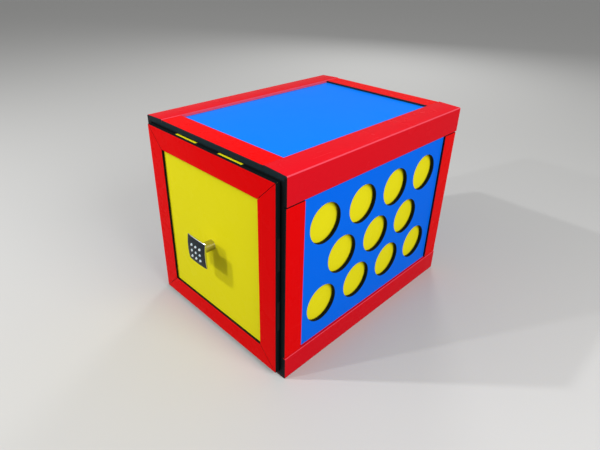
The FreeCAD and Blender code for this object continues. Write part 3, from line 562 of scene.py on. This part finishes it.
# knob
knobParts = {"stem": 12 * mm, "foot": 12.4 * mm, "footHeight": 1.2 * mm, "screwBore": 4.2 * mm,
             "boreDepth": 10 * mm, "plate": 31.6 * mm, "bow": 1.3 * mm, "rim": 0.12 * mm, "topRim": 0.3 * mm,
             "pitch": 7.2 * mm, "drop": 1.2 * mm, "seat": 3.5 * mm, "seatDepth": 1.0 * mm, "stone": 3.4 * mm,
             "table": 2.4 * mm, "rise": 0.6 * mm, "sideBow": 0.6, "columns": 10, "lines": 24,
             "sharp": math.radians(50), "seatSteps": 32, "facets": 8, "stemEase": 0.15 * mm,
             "lacquer": 0.02 * mm, "tableFace": 0.95}


def spun(profile, spot, way, steps=72):
    # a profile of (radius, distance along way) turned about the line through spot
    bm = bmesh.new()
    way = Vector(way)
    out = axes["x"] if abs(way.x) < 0.5 else axes["z"]
    verts = [bm.verts.new(spot + out * r + way * d) for r, d in profile]
    edges = [bm.edges.new(pair) for pair in zip(verts, verts[1:])]
    bmesh.ops.spin(bm, geom=verts + edges, cent=spot, axis=way, angle=math.tau, steps=steps, use_merge=True)
    bmesh.ops.remove_doubles(bm, verts=bm.verts[:], dist=sameSpot["turned"])
    bmesh.ops.recalc_face_normals(bm, faces=bm.faces[:])
    return bm


def rounded(profile, corners, radius, segments=3):
    # swaps the named corners of a profile for short arcs
    points = []
    for count, (r, d) in enumerate(profile):
        if count not in corners:
            points.append((r, d))
            continue
        here = Vector((r, d))
        before, after = Vector(profile[count - 1]) - here, Vector(profile[count + 1]) - here
        a, b = here + before.normalized() * radius, here + after.normalized() * radius
        for step in range(segments + 1):
            t = step / segments
            point = a * (1 - t) ** 2 + here * 2 * t * (1 - t) + b * t ** 2
            points.append((point.x, point.y))
    return points


plateLow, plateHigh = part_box("knob_plate")
stemLength = panelLow.y - plateHigh.y
bore, boreDepth = knobParts["screwBore"] / 2, knobParts["boreDepth"]
stem, footHeight = knobParts["stem"] / 2, knobParts["footHeight"]
stemProfile = rounded([(bore, 0), (knobParts["foot"] / 2, 0), (stem, footHeight), (stem, stemLength),
                       (0, stemLength), (0, boreDepth), (bore, boreDepth), (bore, 0)],
                      (3,), knobParts["stemEase"])
bm = spun(stemProfile, Vector((0, panelLow.y, midZ)), (0, -1, 0))
addPiece("knob-stem", bm, [polishedMetal], "drawer", ["knob_stem"], limit=40)


upright = Matrix.Rotation(math.radians(90), 4, "X")


def bowed(x, z):
    # depth of the knob's face behind its crown
    half = knobParts["plate"] / 2
    return knobParts["bow"] * ((z / half) ** 2 + knobParts["sideBow"] * (x / half) ** 2)


def makePlate():
    half = knobParts["plate"] / 2
    bm = bmesh.new()
    bmesh.ops.create_grid(bm, x_segments=knobParts["columns"], y_segments=knobParts["lines"], size=half,
                          matrix=upright)
    for vert in bm.verts:
        vert.co.y = bowed(vert.co.x, vert.co.z)
    rear = plateHigh.y - plateLow.y
    grown = bmesh.ops.extrude_face_region(bm, geom=bm.faces[:])["geom"]
    for vert in (g for g in grown if isinstance(g, bmesh.types.BMVert)):
        vert.co.y = rear
    bmesh.ops.recalc_face_normals(bm, faces=bm.faces[:])
    bm.normal_update()
    rim, sharp = knobParts["rim"], knobParts["sharp"]
    # one wider chamfer along the top of the face, then a fine rounded edge everywhere else
    ease(bm, knobParts["topRim"], 1, lambda e: e.calc_face_angle(0) > sharp
         and all(v.co.z > half - rim and v.co.y < rear - rim for v in e.verts))
    ease(bm, rim, 3, lambda e: e.calc_face_angle(0) > sharp)
    bmesh.ops.translate(bm, verts=bm.verts[:], vec=(0, plateLow.y, midZ))
    return bm


def joined(bm, other, operation):
    # the first shape less or plus the other, by an exact Boolean
    holders = []
    for shape in (bm, other):
        mesh = bpy.data.meshes.new("work")
        shape.to_mesh(mesh)
        shape.free()
        holder = bpy.data.objects.new("work", mesh)
        bpy.context.scene.collection.objects.link(holder)
        holders.append(holder)
    cut = holders[0].modifiers.new("join", "BOOLEAN")
    cut.operation, cut.solver, cut.object = operation, "EXACT", holders[1]
    bpy.context.view_layer.update()
    mesh = bpy.data.meshes.new_from_object(holders[0].evaluated_get(bpy.context.evaluated_depsgraph_get()))
    result = bmesh.new()
    result.from_mesh(mesh)
    for holder in holders:
        old = holder.data
        bpy.data.objects.remove(holder)
        bpy.data.meshes.remove(old)
    bpy.data.meshes.remove(mesh)
    bmesh.ops.remove_doubles(result, verts=result.verts[:], dist=sameSpot["cut"])
    return result


stonePlaces = [Vector((column * knobParts["pitch"], plateLow.y,
                       midZ + line * knobParts["pitch"] - knobParts["drop"]))
               for line in (-1, 0, 1) for column in (-1, 0, 1)]
seats = bmesh.new()
for spot in stonePlaces:
    # a straight round seat, as deep behind the crown as its cutter stands out in front
    bmesh.ops.create_cone(seats, cap_ends=True, segments=knobParts["seatSteps"],
                          radius1=knobParts["seat"] / 2, radius2=knobParts["seat"] / 2,
                          depth=2 * knobParts["seatDepth"], matrix=Matrix.Translation(spot) @ upright)
bm = joined(makePlate(), seats, "DIFFERENCE")


def platePaint(face):
    # lacquer on the bowed face, bright metal on its edges, back and seats
    middle = face.calc_center_median()
    flush = abs(middle.y - plateLow.y - bowed(middle.x, middle.z - midZ)) < knobParts["lacquer"]
    return 1 if flush and face.normal.y < -endFace else 0


addPiece("knob-plate", bm, [plateRim, plateFace], "drawer", ["knob_plate"], platePaint,
         limit=25)

stones = bmesh.new()
for spot in stonePlaces:
    # a cut stone with slanting facets and a flat table
    middle = spot + axes["y"] * (knobParts["seatDepth"] - knobParts["rise"]) / 2
    bmesh.ops.create_cone(stones, cap_ends=True, segments=knobParts["facets"], radius1=knobParts["stone"] / 2,
                          radius2=knobParts["table"] / 2, depth=knobParts["seatDepth"] + knobParts["rise"],
                          matrix=Matrix.Translation(middle) @ upright)


def stonePaint(face):
    # every other facet of a stone, and the tables of the right-hand stones in the middle and bottom rows, are
    # painted ice blue: a painted reflection
    middle = face.calc_center_median()
    if face.normal.y < -knobParts["tableFace"]:
        return 1 if middle.x > knobParts["pitch"] / 2 and middle.z < midZ + knobParts["pitch"] / 2 else 0
    return int(math.floor(math.atan2(face.normal.z, face.normal.x) / (math.tau / knobParts["facets"]))) % 2


addPiece("knob-crystals", stones, [crystalGlass, crystalBlueReflection], "drawer", ["knob_crystals"],
         stonePaint, 1)
print("knob done")

# screws and washer
screws = {
    "knob_screw": {"body": "drawer", "way": 1, "shank": 4 * mm, "head": 8 * mm, "headHeight": 2.4 * mm},
    "blade_screw": {"body": "catch", "way": -1, "shank": 3 * mm, "head": 6 * mm, "headHeight": 1.8 * mm},
    "strike_screws": {"body": "tray", "way": 1, "shank": 2.5 * mm, "head": 5 * mm,
                      "headHeight": 1.4 * mm}}
# the last row is in shares: of the shank's length, and of the head's height and radius
screwShape = {"pitch": 0.7 * mm, "depth": 0.25 * mm, "point": 0.5 * mm, "brim": 0.15 * mm, "steps": 40,
              "domeTurns": (0, 0.3, 0.6, 0.9, 1.2),
              "threaded": 0.85, "shoulder": 0.35, "crossReach": 1.1, "crossDepth": 1.2, "crossWidth": 0.24}


def makeScrew(tip, way, length, sizes):
    # ridged shank from the tip, domed head at the far end with a cross in it
    shank, head, height = sizes["shank"] / 2, sizes["head"] / 2, sizes["headHeight"]
    pitch, root, brim = screwShape["pitch"], shank - screwShape["depth"], screwShape["brim"]
    under, along = length - height, screwShape["point"]
    profile = [(0, 0), (root, 0), (shank, along)]
    while along + pitch < under * screwShape["threaded"]:
        profile += [(root, along + pitch / 2), (shank, along + pitch)]
        along += pitch
    low = screwShape["shoulder"]
    dome = [(head * math.cos(t), under + height * (low + (1 - low) * math.sin(t)))
            for t in screwShape["domeTurns"]]
    profile += [(shank, under), (head - brim, under), (head, under + brim)] + dome + [(0, length)]
    bm = spun(profile, tip, (0, way, 0), screwShape["steps"])
    bar = Matrix.Diagonal((head * screwShape["crossReach"], height * screwShape["crossDepth"],
                           head * screwShape["crossWidth"], 1))
    crown = Matrix.Translation(tip + axes["y"] * way * length)
    cross = []
    for turn in (45, 135):
        cross.append(bmesh.new())
        place = crown @ Matrix.Rotation(math.radians(turn), 4, "Y") @ bar
        bmesh.ops.create_cube(cross[-1], size=1, matrix=place)
    return joined(bm, joined(*cross, "UNION"), "DIFFERENCE")


def merged(shapes):
    # several closed shapes in one mesh
    whole = bmesh.new()
    for bm in shapes:
        mesh = bpy.data.meshes.new("work")
        bm.to_mesh(mesh)
        bm.free()
        whole.from_mesh(mesh)
        bpy.data.meshes.remove(mesh)
    return whole


for node, sizes in screws.items():
    low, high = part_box(node)
    tipY = low.y if sizes["way"] > 0 else high.y
    x = (low.x + high.x) / 2
    heights = [low.z + sizes["head"] / 2, high.z - sizes["head"] / 2]
    places = heights if heights[1] - heights[0] > sizes["head"] / 2 else [(low.z + high.z) / 2]
    shapes = [makeScrew(Vector((x, tipY, z)), sizes["way"], high.y - low.y, sizes) for z in places]
    addPiece(node.replace("_", "-"), merged(shapes), [platedSteel], sizes["body"], [node])

washerSizes = {"bore": 4.2 * mm, "ease": 0.2 * mm, "steps": 48}
low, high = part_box("knob_washer")
outer, thick, inner = (high.x - low.x) / 2, high.y - low.y, washerSizes["bore"] / 2
ringProfile = rounded([(inner, 0), (outer, 0), (outer, thick), (inner, thick), (inner, 0)], (1, 2, 3),
                      washerSizes["ease"])
addPiece("knob-washer", spun(ringProfile, Vector((0, low.y, midZ)), (0, 1, 0), washerSizes["steps"]),
         [platedSteel], "drawer", ["knob_washer"])

# turn catch
catchSizes = {"bushBore": 5.12 * mm, "bushBody": 8 * mm, "bushFlange": 1 * mm, "shoulder": 9 * mm,
              "spindle": 5 * mm, "shoulderEnd": 151.25 * mm, "thread": 3.2 * mm, "threadDepth": 9 * mm,
              "bladeWidth": 9 * mm, "tipWidth": 3 * mm, "tipSlope": 3 * mm, "bladeHole": 3.2 * mm,
              "ease": 0.25 * mm, "hubSteps": 40}
axisAt = casingBoards["catchHeight"]

low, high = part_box("catch_bush")
flange, depth = (high.x - low.x) / 2, high.y - low.y
bore, body = catchSizes["bushBore"] / 2, catchSizes["bushBody"] / 2
under = depth - catchSizes["bushFlange"]
profile = rounded([(bore, 0), (body, 0), (body, under), (flange, under), (flange, depth), (bore, depth),
                   (bore, 0)], (1, 3, 4, 5), catchSizes["ease"])
addPiece("catch-bush", spun(profile, Vector((0, low.y, axisAt)), (0, 1, 0)), [brass], "casing",
         ["catch_bush"])

low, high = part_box("catch_spindle")
depth, shoulder = high.y - low.y, catchSizes["shoulderEnd"] - low.y
wide, slim, thread = catchSizes["shoulder"] / 2, catchSizes["spindle"] / 2, catchSizes["thread"] / 2
profile = rounded([(thread, 0), (wide, 0), (wide, shoulder), (slim, shoulder), (slim, depth), (0, depth),
                   (0, catchSizes["threadDepth"]), (thread, catchSizes["threadDepth"]), (thread, 0)],
                  (1, 2, 4), catchSizes["ease"])
addPiece("catch-spindle", spun(profile, Vector((0, low.y, axisAt)), (0, 1, 0)), [platedSteel], "catch",
         ["catch_spindle"])

low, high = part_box("catch_blade")
hub, half, tip = (high.x - low.x) / 2, catchSizes["bladeWidth"] / 2, catchSizes["tipWidth"] / 2
opening, steps = math.asin(half / hub), catchSizes["hubSteps"]
# the hub's arc, open at the bottom where the blade leaves it
outline = [(hub * math.sin(t), axisAt - hub * math.cos(t)) for t in
           (opening + (math.tau - 2 * opening) * n / steps for n in range(steps + 1))]
slope = low.z + catchSizes["tipSlope"]
outline += [(-half, slope), (-tip, low.z), (tip, low.z), (half, slope)]
bm = holedBoard("blade", "y", outline, [(0, axisAt, catchSizes["bladeHole"])], low.y, high.y,
                catchSizes["ease"])
addPiece("catch-blade", bm, [platedSteel], "catch", ["catch_blade"])

turnKnob = {"disc": 3.2 * mm, "gripWidth": 7.4 * mm, "gripInset": 1 * mm, "rounding": 1.2 * mm, "flutes": 28,
            "fluteDepth": 0.45 * mm, "line": 0.7 * mm, "socket": 5 * mm, "socketDepth": 6 * mm,
            "ease": 0.3 * mm, "fluteSteps": 6, "gripFrom": 0.4 * mm, "lineDepth": 0.35 * mm, "past": 1 * mm,
            "topEdge": 0.1 * mm, "socketSteps": 48}
low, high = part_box("turn_knob")
radius, centre = (high.x - low.x) / 2, Vector((0, low.y, axisAt))
steps = turnKnob["flutes"] * turnKnob["fluteSteps"]
outline = []
for count in range(steps):
    turn = math.tau * count / steps
    reach = radius - turnKnob["fluteDepth"] * (0.5 - 0.5 * math.cos(turn * turnKnob["flutes"])) ** 2
    outline.append((reach * math.cos(turn), axisAt + reach * math.sin(turn)))
bm = cutOut("y", outline, low.y, low.y + turnKnob["disc"])
ease(bm, turnKnob["ease"], 3, lambda e: abs(e.verts[0].co.y - e.verts[1].co.y) < sameSpot["curve"])
gripHalf = Vector((turnKnob["gripWidth"] / 2, 0, radius - turnKnob["gripInset"]))
grip = block(centre - gripHalf + axes["y"] * turnKnob["gripFrom"],
             centre + gripHalf + axes["y"] * (high.y - low.y))
ease(grip, turnKnob["rounding"], 4, lambda e: max(v.co.y for v in e.verts) > high.y - turnKnob["topEdge"])
bm = joined(bm, grip, "UNION")
# a fine pointer line in the grip, and the socket for the spindle; both cutters reach past the surface
lineHalf, past = turnKnob["line"] / 2, turnKnob["past"]
mark = block(Vector((-lineHalf, high.y - turnKnob["lineDepth"], axisAt)),
             Vector((lineHalf, high.y + past, high.z)))
bm = joined(bm, mark, "DIFFERENCE")
wide, deep = turnKnob["socket"] / 2, turnKnob["socketDepth"]
socket = spun([(0, -past), (wide, -past), (wide, deep), (0, deep)], centre, (0, 1, 0),
              turnKnob["socketSteps"])
bm = joined(bm, socket, "DIFFERENCE")
addPiece("turn-knob", bm, [knobPlastic], "catch", ["turn_knob"], limit=28)

strikeSizes = {"sheet": 1.5 * mm, "web": -24 * mm, "screwX": -33 * mm, "screwSpacing": 9 * mm,
               "hole": 2.7 * mm, "bend": 1.2 * mm, "ease": 0.2 * mm, "bendReach": 2 * mm, "upright": 1 * mm,
               "sharp": math.radians(60), "drillBack": 1 * mm, "drillLength": 4 * mm, "drillSteps": 32}
low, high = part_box("tray_strike")
sheet, web = strikeSizes["sheet"], strikeSizes["web"]
outline = [(low.x, low.y), (web, low.y), (web, high.y - sheet), (high.x, high.y - sheet), (high.x, high.y),
           (web - sheet, high.y), (web - sheet, low.y + sheet), (low.x, low.y + sheet)]
bm = cutOut("z", outline, low.z, high.z)


def atBend(edge):
    mid = (edge.verts[0].co + edge.verts[1].co) / 2
    tall = abs(edge.verts[0].co.z - edge.verts[1].co.z) > strikeSizes["upright"]
    return tall and abs(mid.x - web) < strikeSizes["bendReach"]


ease(bm, strikeSizes["bend"], 5, atBend)
bm.normal_update()
ease(bm, strikeSizes["ease"], 2, lambda e: e.calc_face_angle(0) > strikeSizes["sharp"])
reach, length = strikeSizes["hole"] / 2, strikeSizes["drillLength"]
for way in (-1, 1):
    z = axisAt + way * strikeSizes["screwSpacing"] / 2
    spot = Vector((strikeSizes["screwX"], low.y - strikeSizes["drillBack"], z))
    drill = spun([(0, 0), (reach, 0), (reach, length), (0, length)], spot, (0, 1, 0),
                 strikeSizes["drillSteps"])
    bm = joined(bm, drill, "DIFFERENCE")
addPiece("tray-strike", bm, [platedSteel], "tray", ["tray_strike"])
print("catch done")

# inner tray
trayBoards = {"ease": 0.3 * mm, "nodes": ("tray_bottom", "tray_front", "tray_back", "tray_left_side",
                                          "tray_right_side")}
for node in trayBoards["nodes"]:
    bm = block(*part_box(node))
    ease(bm, trayBoards["ease"])
    addPiece(node.replace("_", "-"), bm, [blackBoardAndShade], "tray", [node])

# floor, light and camera
studio = {"floorColour": (0.56, 0.56, 0.55), "bounceColour": (0.13, 0.13, 0.13),
          "worldColour": (1.0, 1.0, 1.0), "worldStrength": 0.38, "floorHalf": 8,
          "floorRoughness": 0.9, "floorGloss": 0.1}


def makeStage():
    bm = bmesh.new()
    bmesh.ops.create_grid(bm, x_segments=1, y_segments=1, size=studio["floorHalf"])
    mesh = bpy.data.meshes.new("floor")
    bm.to_mesh(mesh)
    bm.free()
    floor = bpy.data.objects.new("floor", mesh)
    bpy.context.scene.collection.objects.link(floor)
    finish = bpy.data.materials.new("paleFloor")
    finish.use_nodes = True
    tree = finish.node_tree
    shader = tree.nodes["Principled BSDF"]
    # pale where it is seen, duller where it only throws light back at the chest
    lightPath = addNode(tree, "ShaderNodeLightPath")
    direct = combine(tree, "MAXIMUM", lightPath.outputs["Is Camera Ray"], lightPath.outputs["Is Glossy Ray"])
    seen = combine(tree, "MAXIMUM", direct, lightPath.outputs["Is Transmission Ray"])
    colour = addNode(tree, "ShaderNodeMix", {"data_type": "RGBA"}, Factor=seen)
    colour.inputs[6].default_value = (*studio["bounceColour"], 1)
    colour.inputs[7].default_value = (*studio["floorColour"], 1)
    tree.links.new(colour.outputs[2], shader.inputs["Base Color"])
    shader.inputs["Roughness"].default_value = studio["floorRoughness"]
    shader.inputs["Specular IOR Level"].default_value = studio["floorGloss"]
    mesh.materials.append(finish)


def makeWorld():
    world = bpy.data.worlds.new("studio")
    world.use_nodes = True
    back = world.node_tree.nodes["Background"]
    back.inputs["Color"].default_value = (*studio["worldColour"], 1)
    back.inputs["Strength"].default_value = studio["worldStrength"]
    bpy.context.scene.world = world


def addLamp(name, spot, target, size, power, mirrored):
    data = bpy.data.lights.new(name, "AREA")
    data.shape, data.size, data.energy = "DISK", size, power
    lamp = bpy.data.objects.new(name, data)
    lamp.location = spot
    lamp.rotation_euler = (Vector(target) - Vector(spot)).to_track_quat("-Z", "Y").to_euler()
    lamp.visible_glossy = mirrored
    bpy.context.scene.collection.objects.link(lamp)


makeStage()
makeWorld()
# each lamp stands reach metres from the front's middle, on the side that way points to
lampAim = Vector((0, -0.145, 0.115))
lamps = {
    "leftLamp": {"way": (-0.36, -0.776, 0.518), "reach": 1.5, "size": 0.05, "power": 5.4, "mirrored": True},
    "upperLamp": {"way": (-0.485, -0.534, 0.692), "reach": 1.5, "size": 0.05, "power": 8.2,
                  "mirrored": True},
    "frontLamp": {"way": (-0.50, -0.69, 0.52), "reach": 2.2, "size": 1.9, "power": 5.8, "mirrored": True},
    "rightLamp": {"way": (0.84, 0.02, 0.54), "reach": 1.3, "size": 0.8, "power": 11.5, "mirrored": True},
    "rearLamp": {"way": (-0.42, 0.80, 0.43), "reach": 2.0, "size": 0.5, "power": 8.0, "mirrored": False}}
for name, lamp in lamps.items():
    spot = Vector(lamp["way"]) * lamp["reach"] + lampAim
    addLamp(name, spot, lampAim, lamp["size"], lamp["power"], lamp["mirrored"])

viewpoint = {"azimuth": 44.681, "elevation": 28.142, "roll": 1.125, "spot": (0.37204, -0.39236, 0.40766),
             "focal": 28.423, "sensor": 36, "shift": (0.0112, -0.0358), "clip": (0.01, 50)}


def makeCamera():
    azimuth, elevation, roll = (math.radians(viewpoint[k]) for k in ("azimuth", "elevation", "roll"))
    back = Vector((math.sin(azimuth) * math.cos(elevation), -math.cos(azimuth) * math.cos(elevation),
                   math.sin(elevation)))
    level = axes["z"].cross(back).normalized()
    rise = back.cross(level)
    right = math.cos(roll) * level + math.sin(roll) * rise
    up = -math.sin(roll) * level + math.cos(roll) * rise
    turn = Matrix((right, up, back)).transposed().to_4x4()
    data = bpy.data.cameras.new("camera")
    data.lens, data.sensor_width = viewpoint["focal"], viewpoint["sensor"]
    data.shift_x, data.shift_y = viewpoint["shift"]
    data.clip_start, data.clip_end = viewpoint["clip"]
    camera = bpy.data.objects.new("camera", data)
    camera.matrix_world = Matrix.Translation(viewpoint["spot"]) @ turn
    bpy.context.scene.collection.objects.link(camera)
    bpy.context.scene.camera = camera


makeCamera()
bpy.context.scene.view_settings.view_transform = "Standard"
print("scene done")
